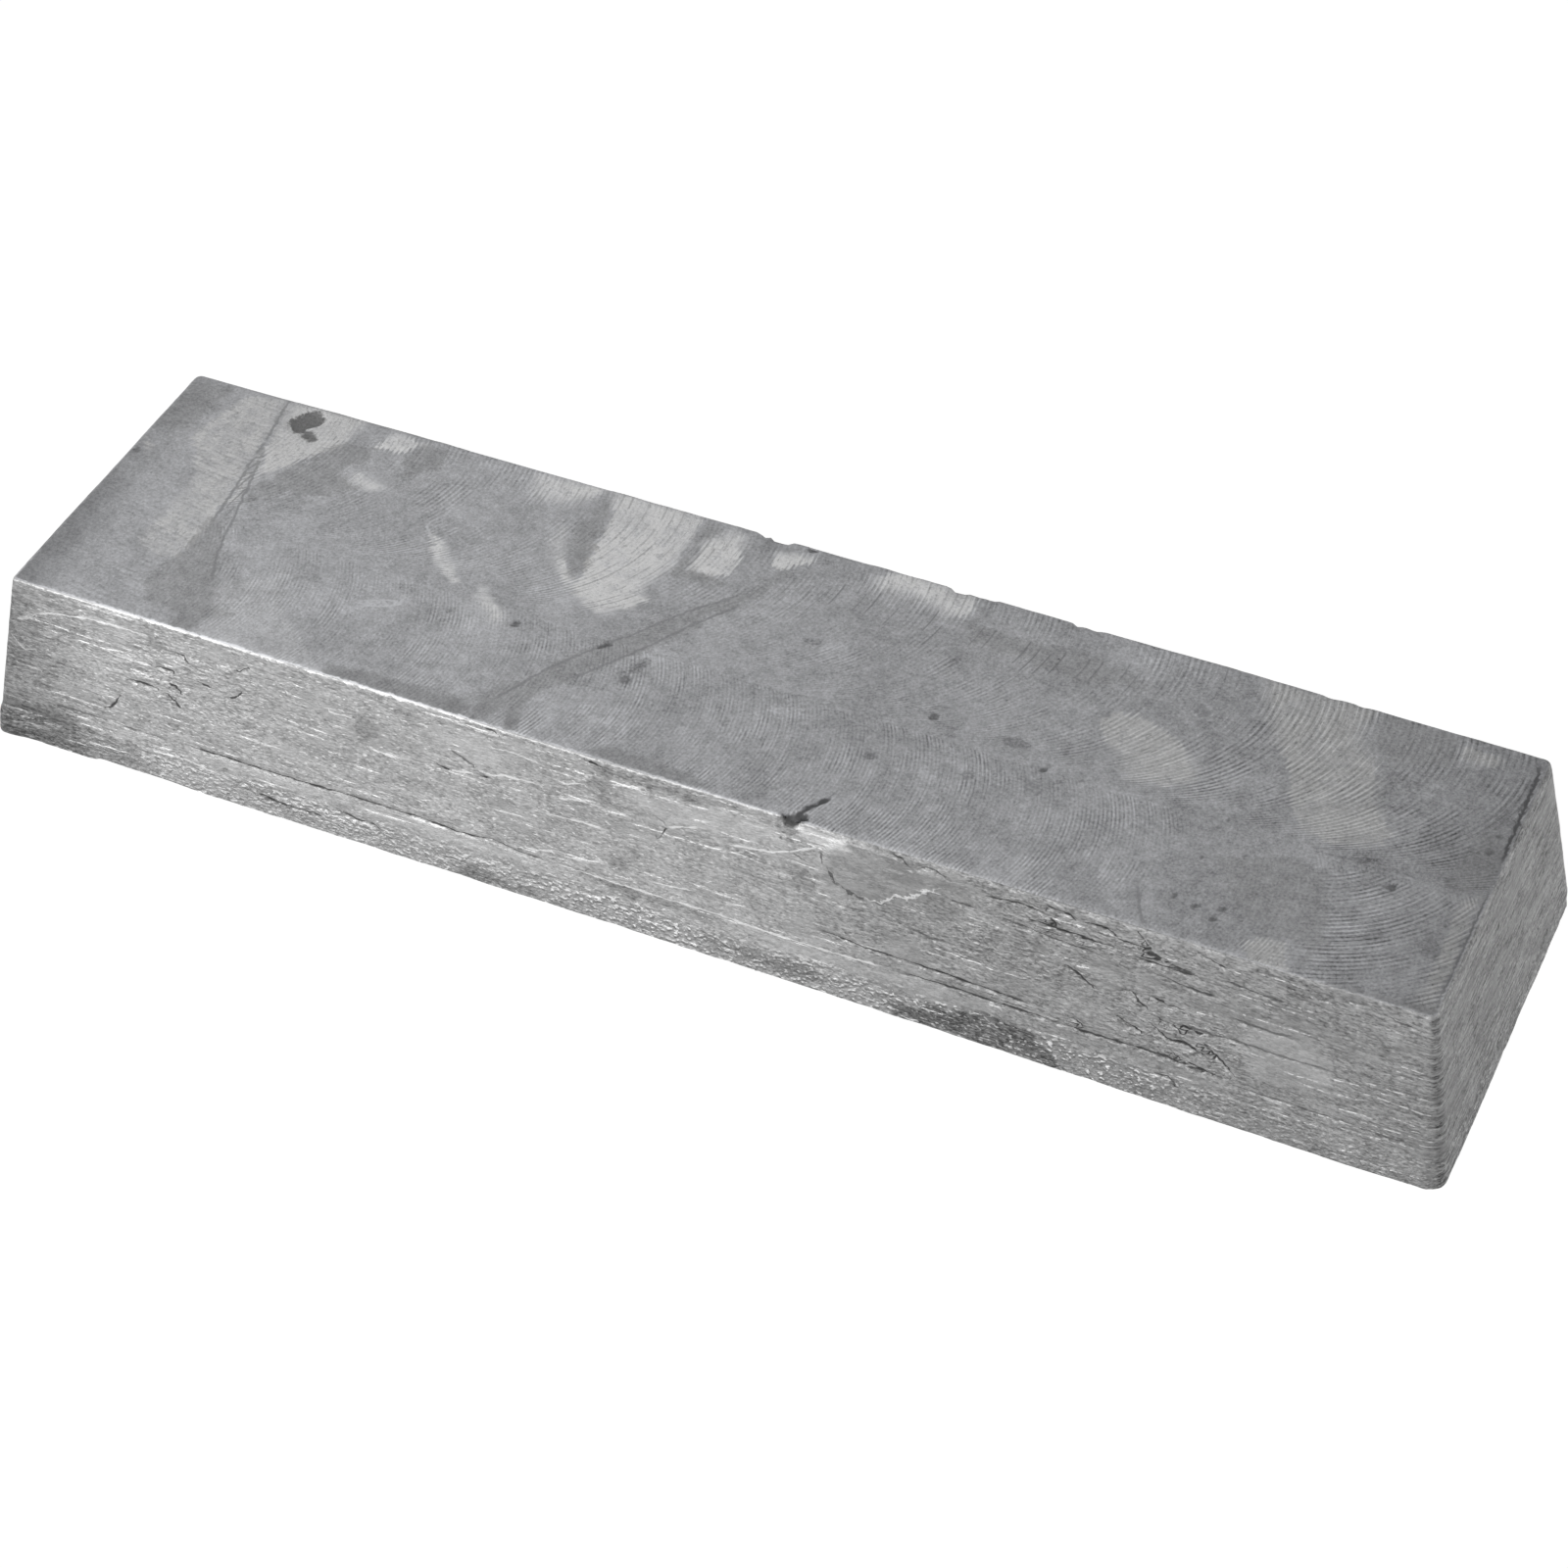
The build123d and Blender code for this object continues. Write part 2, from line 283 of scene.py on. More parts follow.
topDark = [
    [(-116.8, -3.3), (-112.9, -5.7), (-110.9, -12.5), (-106.1, -22.3), (-102.7, -26.6), (-98.8, -27.1),
     (-102.7, -30), (-103.7, -35.5), (-109, -35.5), (-108, -31), (-116.3, -30), (-119.2, -25.2),
     (-118.2, -19.3), (-116.8, -14.5)],
    [(-8.6, 25.4), (-10.6, 19.6), (-14.9, 13.8), (-19.8, 7.9), (-26.6, -2.3), (-31.9, -9.6), (-36.3, -16.4),
     (-39.7, -22.3), (-43.1, -25.2), (-44.6, -35.5), (-41.5, -35.5), (-38.5, -27), (-36.3, -35.5),
     (-34, -35.5), (-36.3, -26.6), (-34.4, -22.7), (-31.4, -17.4), (-26.6, -11.1), (-22.7, -4.7),
     (-18.3, 3.1), (-12, 12.8), (-8.1, 18.6), (-6.2, 26.9)],
    [(-75.3, -32), (-68.5, -31.2), (-60.1, -31), (-52.3, -30.8), (-46.3, -30.6), (-42.7, -33), (-42, -35.8),
     (-75, -35.8)],
    [(-21, -34), (-16.6, -31.6), (-7.5, -31.4), (1.9, -32.4), (5.5, -34.2), (-10.8, -35.8)],
    [(-48.9, 31.8), (-46, 29.3), (-44.6, 23.5), (-44.1, 17.6), (-42.9, 10.4), (-44.1, 8.9), (-47, 12.8),
     (-49.4, 16.7), (-50.4, 21.5), (-48.9, 25.9)],
    [(-27.6, 33.2), (-24.2, 33.7), (-22.7, 31.8), (-25.6, 28.8), (-25.4, 23.5), (-24.6, 20.1),
     (-16.9, 19.1), (-16.4, 17.6), (-24.6, 16.7), (-27.3, 16.7)],
    [(-115.6, 6.5), (-110.5, 16.5), (-105.5, 24), (-103.5, 28), (-98, 27.5), (-97, 23), (-102, 20),
     (-95, 16), (-101, 11), (-108, 8), (-113, 3)],
    [(-90, 33), (-84, 33), (-83, 27), (-88, 22), (-91, 27)],
    [(124, -34), (144, -33.2), (144, -36), (122, -36)],
    [(97, -13), (106, -9), (115, -9), (118, -18), (120, -27), (118.5, -33.5), (117, -28), (106, -26.5),
     (100, -20)],
    [(136.5, 11), (141.5, 13), (142, -2), (139, -4.5), (135.8, -3)],
    [(111, 34.5), (126, 34), (127, 26), (118, 22), (112, 26)],
    [(30, 27), (62, 27), (70, 24), (60, 20), (34, 22)],
    [(-143, 32), (-134, 34), (-135, 22), (-139, 16), (-143, 18)],
]
edgeBites = [  # along, across, up, radius, depth of what is missing from the arrises
    (22, -34.8, 37.7, 1.5, 2.6), (24, -33.8, 38.2, 1, 1.8), (-12, 35.2, 38, 2.6, 0.8),
    (-15, 35.2, 38.2, 1.3, 0.6), (26, 35.2, 38, 2, 0.7), (29.4, 35.4, 38.1, 1.9, 0.4),
    (32.2, 35.5, 38.2, 1.6, 0.3), (50.6, 35.2, 38.2, 1.3, 0.6), (53.6, 35.5, 38.2, 1.7, 0.35),
    (101, 35.4, 38.2, 1.6, 0.2), (107, 35.4, 38.2, 1.3, 0.18), (-38, -35.4, 37.4, 0.9, 0.4),
    (5.5, -35.4, 37.4, 0.8, 0.35), (-101, -35.4, 37.6, 0.7, 0.3),
]

strokeStep = {"long": 1.3, "ragged": 0.07, "taper": 5.0, "taperParts": 5, "seed": 7}  # mm
dice = random.Random(strokeStep["seed"])


def raggedLine(chain):  # a drawn line in short uneven steps
    points = [chain[0]]
    for (a, b), (c, d) in zip(chain, chain[1:]):
        length = math.hypot(c - a, d - b)
        steps = max(1, round(length / strokeStep["long"]))
        for step in range(1, steps + 1):
            share = step / steps
            sway = dice.gauss(0, strokeStep["ragged"])
            swayX, swayY = (d - b) / length * sway, (c - a) / length * sway
            points.append((a + (c - a) * share - swayX, b + (d - b) * share + swayY))
    return points


def helperObject(name, points, edges, faces, domain, values):  # the relief measures from these
    mesh = bpy.data.meshes.new(name)
    mesh.from_pydata(points, edges, faces)
    for label, numbers in values.items():
        mesh.attributes.new(label, "FLOAT", domain).data.foreach_set("value", numbers)
    helper = bpy.data.objects.new(name, mesh)
    scene.collection.objects.link(helper)
    return helper


def leveled(*faces):  # the front lies at level 0 of the drawing, the top at level 1
    return [(level, mark) for level, marks in enumerate(faces) for mark in marks]


def drawnStrokes(name, *faces):
    points, edges, depths = [], [], []
    for level, (depth, *chain) in leveled(*faces):
        line = raggedLine(chain)
        first, last = len(points), len(line) - 1
        points += [(a * mm, level, b * mm) for a, b in line]
        edges += [(first + step, first + step + 1) for step in range(last)]
        taper = min(strokeStep["taper"], last / strokeStep["taperParts"])
        depths += [depth * min(1.0, (min(step, last - 1 - step) + 0.5) / taper) for step in range(last)]
    return helperObject(name, points, edges, [], "EDGE", {"depth": depths})


def drawnAreas(name, *faces):
    points, outlines = [], []
    for level, outline in leveled(*faces):
        outlines.append(list(range(len(points), len(points) + len(outline))))
        points += [(a * mm, level, b * mm) for a, b in outline]
    return helperObject(name, points, [], outlines, "FACE", {})


def drawnDots(name, dots):  # each a place, a radius and a depth
    places, radii, depths = zip(*dots)
    return helperObject(name, places, [], [], "POINT", {"radius": radii, "depth": depths})


blotDots = [((a * mm, level, b * mm), radius, depth)
            for level, (a, b, radius, depth) in leveled(frontBlots, topBlots)]
biteDots = [(Vector(bite[:3]) * mm, *bite[3:]) for bite in edgeBites]
drawings = {
    "Strokes": drawnStrokes("strokes", frontStrokes, topStrokes),
    "Folds": drawnAreas("folds", frontFolds),
    "Light Film": drawnAreas("lightFilm", frontLight, topLight),
    "Dark Film": drawnAreas("darkFilm", frontDark, topDark),
    "Blots": drawnDots("blots", blotDots),
    "Bites": drawnDots("bites", biteDots),
}
print("marks drawn:", {name: len(helper.data.vertices) for name, helper in drawings.items()})

ingotShape = {  # mm and degrees; length, width and height come from the frame
    "End Draft": 10.15,
    "Side Draft": 8.05,
    "Top Corner": 1.6,
    "Back Right Corner": 0.8,  # more than the others
    "Front Right Foot": 1.4,  # more than the others, at the foot
    "Front Left Sharp": 0.45,  # share that this corner is sharper, at the top
    "Foot Corner": 2.8,
    "Top Edge": 0.7,
    "Foot Edge": 0.8,
    "Sink Long": 246.0,
    "Sink Deep": 0.8,
    "Foot Step": 0.6,  # near the left end
    "Back Bow": 0.6,  # how far the back top edge bows out, in plan
    "Skin": 0.05,  # how far the cast skin lies inside the mould's own size
}
ingotCells = (300, 66, 82)  # along, across and up
edgeCrowding = {"x": (0.05, 15), "y": (0.12, 7), "z": (0.09, 9)}  # draws cells towards the edges
mouldRow = {"pitch": 1.34, "warp": 1.5, "long": 11.0}  # the mould's step lines, mm


def mouldRows(bench, place):  # ledge profile, how far each row shows here, and place within the row
    x, y, z = place
    wander = bench.noise(x / 40, y / 40, z / 15, 2) - 0.5
    rows = z / mouldRow["pitch"] + wander * (2 * mouldRow["warp"])
    row = rows.math("FLOOR")
    wiggle = bench.noise(x / 5, y / 5, row * 3.7, 1) - 0.5
    within = rows - row + wiggle * 0.5
    show = bench.noise(x / mouldRow["long"], y / mouldRow["long"], row * 5.3 + 40, 1)
    ends = x.ramp(96, 142)
    share = (show + ends * 0.08).ramp(0.58, 0.68)
    ledge = within.ramp(0.62, 0.4) - within
    return ledge, share, within


wrinkledPlaces = [  # along, up and half sizes, mm
    (82, 33, 24, 5), (99, 17, 17, 9), (-104, 26, 20, 9), (-78, 5, 24, 4), (68, 23, 17, 6),
]
mouldLean = {"height": 38.4, "end": 0.18, "side": 0.14}  # mm, and mm of lean for each mm of height
castSkin = {  # heights of the relief, mm
    "swell": 0.45, "ripple": 0.2, "ledge": 0.08, "grit": 0.1, "footGrit": 0.3, "wrinkle": 0.9, "lip": 0.16,
    "fold": 0.42, "rightEnd": 0.35, "leftFoot": 0.4, "top": 0.16, "pourSwell": 0.6, "pourGrit": 0.2,
}


def unleaned(place, z, lean):  # where a point of a leaning side would stand at the top
    return place - (mouldLean["height"] - z) * mouldLean[lean]


def wrinkled(x, y, z):  # 1 where the front skin tore and wrinkled as it froze
    most = 0
    for along, up, long, high in wrinkledPlaces:
        most = (abs(x - along).ramp(long, long * 0.6) * abs(z - up).ramp(high, high * 0.6)).most(most)
    return most * y.ramp(0, -10)


def ingotTree(materials):
    tree = bpy.data.node_groups.new("castIngot", "GeometryNodeTree")
    tree.interface.new_socket("Mesh", in_out="OUTPUT", socket_type="NodeSocketGeometry")
    sizes = ["Foot Long", "Foot Wide", "Height", *ingotShape]
    for name in sizes:
        tree.interface.new_socket(name, in_out="INPUT", socket_type="NodeSocketFloat")
    for name in drawings:
        tree.interface.new_socket(name, in_out="INPUT", socket_type="NodeSocketObject")
    bench = Bench(tree)
    given = bench.node("NodeGroupInput")
    size = {name: given.out(name) for name in sizes}
    drawn = {name: bench.node("GeometryNodeObjectInfo", {}, {"Object": given.out(name)}).out("Geometry")
             for name in drawings}

    # a plain box of cells, crowded towards its edges
    cells = bench.node("GeometryNodeMeshCube", {}, {"Size": (2, 2, 2), "Vertices X": ingotCells[0] + 1,
                       "Vertices Y": ingotCells[1] + 1, "Vertices Z": ingotCells[2] + 1})
    boxX, boxY, boxZ = bench.split(bench.node("GeometryNodeInputPosition"))

    def crowd(place, axis):
        pull, power = edgeCrowding[axis]
        return place * (1 + pull) - pull * place ** power

    rise = crowd(boxZ, "z") * 0.5 + 0.5
    footLong, footWide, height = size["Foot Long"], size["Foot Wide"], size["Height"]
    up = rise * height

    def halfAt(foot, draft):  # half of the body's length or width at this height
        slope = (draft * (math.pi / 180)).math("TANGENT")
        return foot * 0.5 + (size["Foot Edge"] - up) * slope - size["Skin"]

    halfLong, halfWide = halfAt(footLong, size["End Draft"]), halfAt(footWide, size["Side Draft"])
    atRight, atBack = boxX.math("GREATER_THAN", 0), boxY.math("GREATER_THAN", 0)
    topCorner = size["Top Corner"] + atRight * atBack * size["Back Right Corner"]
    footCorner = size["Foot Corner"] + atRight * (1 - atBack) * size["Front Right Foot"]
    sharper = (1 - atRight) * (1 - atBack) * size["Front Left Sharp"] * (0.3 + 0.7 * rise)
    corner = mix(footCorner, topCorner, rise) * (1 - sharper)
    along = crowd(boxX, "x") * halfLong
    across = crowd(boxY, "y") * halfWide

    # round the upright corners, then the top and foot edges
    tiny = 1e-6
    cornerX = (abs(along) - (halfLong - corner)).most(0)
    cornerY = (abs(across) - (halfWide - corner)).most(0)
    cornerAway = ((cornerX * cornerX + cornerY * cornerY) ** 0.5).most(tiny)
    inset = corner - cornerX.most(cornerY)
    drop = height - up

    def roundEdge(inside, away, radius):
        a = (radius - inside).most(0)
        b = (radius - away).most(0)
        share = a.most(b) / ((a * a + b * b) ** 0.5).most(tiny)
        return a - a * share, b - b * share

    topIn, topDown = roundEdge(inset, drop, size["Top Edge"])
    footIn, footUp = roundEdge(inset, up, size["Foot Edge"])
    reach = corner - inset - topIn - footIn
    signX, signY = boxX.math("SIGN"), boxY.math("SIGN")
    bodyX = signX * (abs(along).least(halfLong - corner) + cornerX / cornerAway * reach)
    bodyY = signY * (abs(across).least(halfWide - corner) + cornerY / cornerAway * reach)
    halfSpan = footLong * 0.5
    bow = (1 - bodyX * bodyX / (halfSpan * halfSpan)) * rise * size["Back Bow"]
    bodyY = bodyY + bow * bodyY.ramp(20, 34)
    span = bodyX / (size["Sink Long"] * 0.5)
    sink = (1 - span * span).most(0) * size["Sink Deep"]
    footStep = bodyX.ramp(-127.6, -125.4) * bodyX.ramp(-98, -118) * size["Foot Step"]
    bodyZ = up - topDown + footUp + (sink + footStep) * (1 - rise * 3).most(0)

    # where each point lies on the drawn marks
    boxEdge = 0.9999
    isTop = boxZ.math("GREATER_THAN", boxEdge)
    isFoot = boxZ.math("LESS_THAN", -boxEdge)
    isEnd = abs(boxX).math("GREATER_THAN", boxEdge)
    endRound = signX * (footLong * 0.5 + across + footWide * 0.5)
    backRound = footLong + footWide - along
    around = mix(mix(along, backRound, atBack), endRound, isEnd)
    rim = (halfLong - abs(along)).least(halfWide - abs(across)) + drop
    onTop = isTop * inset.math("GREATER_THAN", 0.05)
    markX = mix(around, along, onTop)
    markY = mix(up, across, onTop)
    markAt = bench.vector(markX * mm, onTop, markY * mm)

    def stored(name):
        return bench.node("GeometryNodeInputNamedAttribute", {"data_type": "FLOAT"}, {"Name": name})

    def nearest(drawing, element, at=markAt):
        return bench.node("GeometryNodeProximity", {"target_element": element},
                          {0: drawing, "Sample Position": at}, "Distance")

    def drawnValue(drawing, name, domain, at=markAt):
        number = bench.node("GeometryNodeSampleNearest", {"domain": domain},
                            {"Geometry": drawing, "Sample Position": at})
        return bench.node("GeometryNodeSampleIndex", {"data_type": "FLOAT", "domain": domain},
                          {"Geometry": drawing, "Value": stored(name), "Index": number})

    def areaSide(drawing):  # mm outside the drawn area, below 0 inside it
        inside = nearest(drawing, "FACES").math("LESS_THAN", tiny)
        return nearest(drawing, "EDGES") / mm * (1 - 2 * inside)

    strokeAway = nearest(drawn["Strokes"], "EDGES")
    gap = strokeAway / mm
    nearX, _, nearY = bench.split(strokeAway.out("Position"))
    leanX, leanY = mix(0.3, 1, onTop), mix(0.95, 0.15, onTop)
    side = gap * ((markX - nearX / mm) * leanX + (markY - nearY / mm) * leanY).math("SIGN")
    deep = drawnValue(drawn["Strokes"], "depth", "EDGE")
    blotSide = nearest(drawn["Blots"], "POINTS") / mm - drawnValue(drawn["Blots"], "radius", "POINT")
    blotDeep = drawnValue(drawn["Blots"], "depth", "POINT")
    bodyAt = bench.vector(bodyX * mm, bodyY * mm, bodyZ * mm)
    biteReach = drawnValue(drawn["Bites"], "radius", "POINT", bodyAt)
    biteSide = nearest(drawn["Bites"], "POINTS", bodyAt) / mm - biteReach
    biteDeep = drawnValue(drawn["Bites"], "depth", "POINT", bodyAt)

    mesh = cells.out("Mesh")
    facts = {"rim": rim, "around": around, "strokeGap": gap, "strokeSide": side, "strokeDeep": deep,
             "blotSide": blotSide, "blotDeep": blotDeep, "foldSide": areaSide(drawn["Folds"]),
             "lightSide": areaSide(drawn["Light Film"]), "darkSide": areaSide(drawn["Dark Film"]),
             "biteSide": biteSide, "biteDeep": biteDeep, "onTop": isTop, "onFoot": isFoot}
    for name, value in facts.items():
        mesh = bench.node("GeometryNodeStoreNamedAttribute", {"data_type": "FLOAT", "domain": "POINT"},
                          {"Geometry": mesh, "Name": name, "Value": value})
    placed = bench.node("GeometryNodeSetPosition", {}, {"Geometry": mesh, "Position": bodyAt})

    # cast skin: laps, ledges, dents and the drawn marks, along the normal
    here = bench.node("GeometryNodeInputPosition")
    place = tuple(part / mm for part in bench.split(here))
    x, y, z = place

    def cloud(longMm, highMm, detail=2):
        return bench.noise(x / longMm, y / longMm, z / highMm, detail) - 0.5

    swell = cloud(45, 20) * castSkin["swell"] + cloud(11, 5) * castSkin["ripple"]
    ledge, ledgeShare, _ = mouldRows(bench, place)
    upright = unleaned(abs(x), z, "end").ramp(136, 141) * unleaned(abs(y), z, "side").ramp(29, 33.5)
    ledges = ledge * ledgeShare * (1 - 0.875 * upright) * castSkin["ledge"]
    wrinkles = wrinkled(x, y, z)
    rough = cloud(2.6, 0.9, 2) * (castSkin["grit"] + castSkin["footGrit"] * z.ramp(9, 3))
    rough = rough + cloud(3.4, 1.4, 3) * wrinkles * castSkin["wrinkle"]
    gap, side, deep = stored("strokeGap"), stored("strokeSide"), stored("strokeDeep")
    cut = gap.ramp(0.7, 0) * deep.most(-0.05)
    lip = side.ramp(-0.4, 0.2) * gap.ramp(3.5, 0.3) * deep.ramp(0.25, 0.4) * castSkin["lip"]
    pit = (stored("blotSide") + cloud(1.6, 1.6) * 0.8).ramp(0.35, -0.35) * stored("blotDeep")
    fold = (stored("foldSide") + cloud(3, 3) * 2).ramp(0.3, -0.4) * castSkin["fold"]
    atTop, atFoot, around = stored("onTop"), stored("onFoot"), stored("around")
    tornShare = around.ramp(24, 32) * around.ramp(112, 100)
    torn = (stored("rim") + cloud(2.2, 2.2) * 3).ramp(1.5, 0.2) * (0.04 + 0.3 * tornShare)
    bite = (stored("biteSide") + cloud(1.8, 1.8) * 1.4).ramp(0.5, -0.9) * stored("biteDeep")
    sideRelief = swell + ledges + rough + lip + fold - 0.08 - 0.3 * z.ramp(5, 1)
    sideRelief = sideRelief + unleaned(x, z, "end").ramp(141, 143) * castSkin["rightEnd"]
    sideRelief = sideRelief + x.ramp(-139, -148) * z.ramp(8, 4) * castSkin["leftFoot"]
    topRelief = cloud(30, 30) * castSkin["top"] - 0.12
    footRelief = cloud(14, 14) * castSkin["pourSwell"] + cloud(4, 4) * castSkin["pourGrit"] - 0.35
    skin = mix(mix(sideRelief, topRelief, atTop), footRelief, atFoot) - cut - pit - torn - bite
    outward = {0: bench.node("GeometryNodeInputNormal"), "Scale": skin * mm}
    offset = bench.node("ShaderNodeVectorMath", {"operation": "SCALE"}, outward, "Vector")
    within = 0.4999 * mm  # a hair inside the frame's own box
    low = bench.vector(footLong * -within, footWide * -within, 0)
    high = bench.vector(footLong * within, footWide * within, height * (2 * within))
    moved = here
    for operation, other in (("ADD", offset), ("MAXIMUM", low), ("MINIMUM", high)):
        moved = bench.node("ShaderNodeVectorMath", {"operation": operation}, {0: moved, 1: other}, "Vector")
    skinned = bench.node("GeometryNodeSetPosition", {}, {"Geometry": placed, "Position": moved})
    whole = bench.node("GeometryNodeSetShadeSmooth", {}, {"Geometry": skinned})
    for material, where in materials:
        chosen = {"Selection": stored(where).math("GREATER_THAN", 0.9)} if where else {}
        whole = bench.node("GeometryNodeSetMaterial", {}, {"Geometry": whole, "Material": material, **chosen})
    bench.node("NodeGroupOutput", {}, {"Mesh": whole})
    return tree


def newMaterial(name):
    material = bpy.data.materials.new(name)
    material.use_nodes = True
    material.node_tree.nodes.clear()
    return material, Bench(material.node_tree)


def placeInMm(bench):
    place = bench.node("ShaderNodeTexCoord", {}, {}, "Object")
    return tuple(part / mm for part in bench.split(place))


def fact(bench, name):
    settings = {"attribute_name": name, "attribute_type": "GEOMETRY"}
    return bench.node("ShaderNodeAttribute", settings, {}, "Fac")


def strokeFacts(bench):
    return [fact(bench, name) for name in ("strokeSide", "strokeGap", "strokeDeep")]


def coldShut(bench, ragged):  # 1 in the hole of the front edge, which is painted dark as shade
    return (fact(bench, "biteSide") + ragged).ramp(0.5, 0) * fact(bench, "biteDeep").ramp(1, 1.6)


def grey(bench, shade, blue=1):  # green goes a fifth of the way with blue
    green = shade * (blue * 0.2 + 0.8)
    return bench.node("ShaderNodeCombineColor", {}, {"Red": shade, "Green": green, "Blue": shade * blue})


metalLimits = {"darkest": 0.03, "brightest": 0.98}


def finishMetal(bench, shade, roughness, metallic, heightMm, blue=1.004):
    shade = shade.most(metalLimits["darkest"]).least(metalLimits["brightest"])
    bump = bench.node("ShaderNodeBump", {}, {"Strength": 1, "Distance": mm, "Height": heightMm})
    metal = bench.node("ShaderNodeBsdfPrincipled", {}, {
        "Base Color": grey(bench, shade, blue), "Roughness": roughness, "Metallic": metallic, "Normal": bump})
    bench.node("ShaderNodeOutputMaterial", {}, {"Surface": metal})


def strokeMask(side, gap, width, reach):  # 1 on a drawn line
    return abs(side).ramp(width, width * 0.3) * gap.ramp(reach, reach * 0.6)


def rubbedAndLitArris(x, y, rim, ragged):  # the arris is rubbed bright and painted with the key lamp's highlight, most of all at the front left
    front = y.ramp(-20, -33)
    left = x.ramp(-32, -46) * x.ramp(-146, -106)
    strength = 0.1 + front * (0.3 * x.ramp(36, 28) + 0.45 * left)
    return (rim + ragged).ramp(0.64, 0.22) * strength


frostedSide = {"shade": 0.4, "roughness": 0.45, "metallic": 0.3}


def frostedSideMaterial():
    material, bench = newMaterial("frostedSide")
    place = placeInMm(bench)
    x, y, z = place

    def cloud(longMm, highMm, detail=2, roughness=0.5):
        return bench.noise(x / longMm, y / longMm, z / highMm, detail, roughness) - 0.5

    # drawn light and dark areas, smooth skin, the rough foot and the wrinkles
    wobble = cloud(3.5, 2, 4, 0.6) * 6
    light = (fact(bench, "lightSide") + wobble).ramp(0.6, -0.6)
    dark = (fact(bench, "darkSide") + wobble).ramp(0.8, -0.8)
    calm = cloud(13, 6, 4, 0.6).ramp(0.04, 0.1).most(light)
    fold = fact(bench, "foldSide") + cloud(3, 3, 3) * 2.4 + cloud(0.9, 0.9, 2) * 2
    onFold = fold.ramp(0.3, -0.3)
    leftEnd = x.ramp(-128, -144)
    lively = (1 - calm * 0.5) * (1 - onFold * 0.5) * (1 - leftEnd * 0.3)
    foot = (z + cloud(16, 16) * 8).ramp(9.5, 6.5) * x.ramp(-128, -108)
    foot = foot * (1 - 0.5 * x.ramp(88, 116))
    ends = abs(x).ramp(92, 136)
    onEnd = unleaned(abs(x), z, "end").ramp(142, 143)
    corner = unleaned(abs(x), z, "end").ramp(137, 141.5) * unleaned(abs(y), z, "side").ramp(30, 33.6)
    leftward = x.ramp(70, -20)
    rightFoot = x.ramp(-50, -5) * (1 - 0.8 * x.ramp(80, 110))
    wrinkles = wrinkled(x, y, z)

    # grain of the frozen skin, with painted glints on grains and beads, and painted shade in pinholes, under
    # the beads and in the creases
    broad = cloud(28, 10, 3)
    patch = cloud(6, 2.2, 4, 0.65).ramp(-0.04, 0.04)
    streak = cloud(7, 0.5, 2)
    grain = cloud(1, 0.4, 2, 0.65)
    # salt is painted glints on single grains; pepper is painted shade in pinholes
    salt = cloud(1.3, 0.4, 1).ramp(0.13, 0.24) * (0.3 + 0.7 * leftward) * (1 - dark)
    pepper = cloud(1, 0.5, 1).ramp(-0.11, -0.22) * (1 - 0.25 * leftward)
    bead = cloud(1.25, 0.62, 1)
    # white is a painted highlight on each bead of the foot, below a painted shade just under it
    white = bead.ramp(0.09, 0.17) * foot
    below = (bench.noise(x / 1.25, y / 1.25, (z + 0.45) / 0.62, 1) - 0.5).ramp(0.04, 0.15) * foot
    # crease is painted shade in the wrinkles' creases, creaseLip a painted highlight on their upper lips
    crease = cloud(2.2, 0.62, 3, 0.6).ramp(-0.07, -0.13) * wrinkles
    creaseLip = bench.noise(x / 2.2, y / 2.2, (z - 0.4) / 0.62, 3, 0.6) - 0.5
    creaseLip = creaseLip.ramp(-0.08, -0.15) * wrinkles

    # step lines of the mould: a painted highlight on each lip, partly worn bright, over a thin line of
    # painted shade
    ledge, ledgeShare, within = mouldRows(bench, place)
    lipHighlight = abs(within - 0.5).ramp(0.11, 0.03) * ledgeShare
    lowEnd = z.ramp(15, 6) * onEnd
    beadedLipHighlight = lipHighlight * cloud(1.1, 1.1, 1).ramp(-0.06, 0.08) * mix(0.9, 0.25 + 0.6 * lowEnd, onEnd)
    # painted highlights on the step arcs round the upright corners
    cornerArcHighlight = abs(within - 0.5).ramp(0.2, 0.05) * corner * cloud(2.5, 2.5).ramp(-0.1, 0.05)
    beadedLipHighlight = (beadedLipHighlight * (1 - onFold)).most(cornerArcHighlight * 0.22)
    shadow = abs(within - 0.84).ramp(0.14, 0.04) * cloud(9, 2).ramp(0.02, 0.1) * (1 - corner)

    # drawn marks, with painted shade in the cracks, the hole and under the fold's edge, and painted
    # highlights beside the cracks, on the fold's rim and along the arris
    side, gap, deep = strokeFacts(bench)
    thick = 0.15 + 0.32 * cloud(3.5, 3.5).ramp(-0.08, 0.16)
    onLine = strokeMask(side + cloud(1, 0.8, 3) * 0.5, gap, thick, 1.3)
    # cracks are painted dark as shade in them, darker the deeper they are
    line = onLine * deep.ramp(0, 0.35)
    scuff = onLine * deep.ramp(0, -0.12)
    hole = coldShut(bench, cloud(1.2, 1.2, 3) * 1.2)
    # painted highlight on the lit lip beside each crack
    lit = abs(side + 0.5).ramp(0.3, 0.1) * gap.ramp(1.3, 0.8)
    lit = lit * cloud(1.5, 1.5).ramp(0.04, 0.16) * deep.ramp(0, 0.2) * 0.6
    blot = (fact(bench, "blotSide") + cloud(2.2, 1.4, 3, 0.65) * 6.5).ramp(0.5, -0.4)
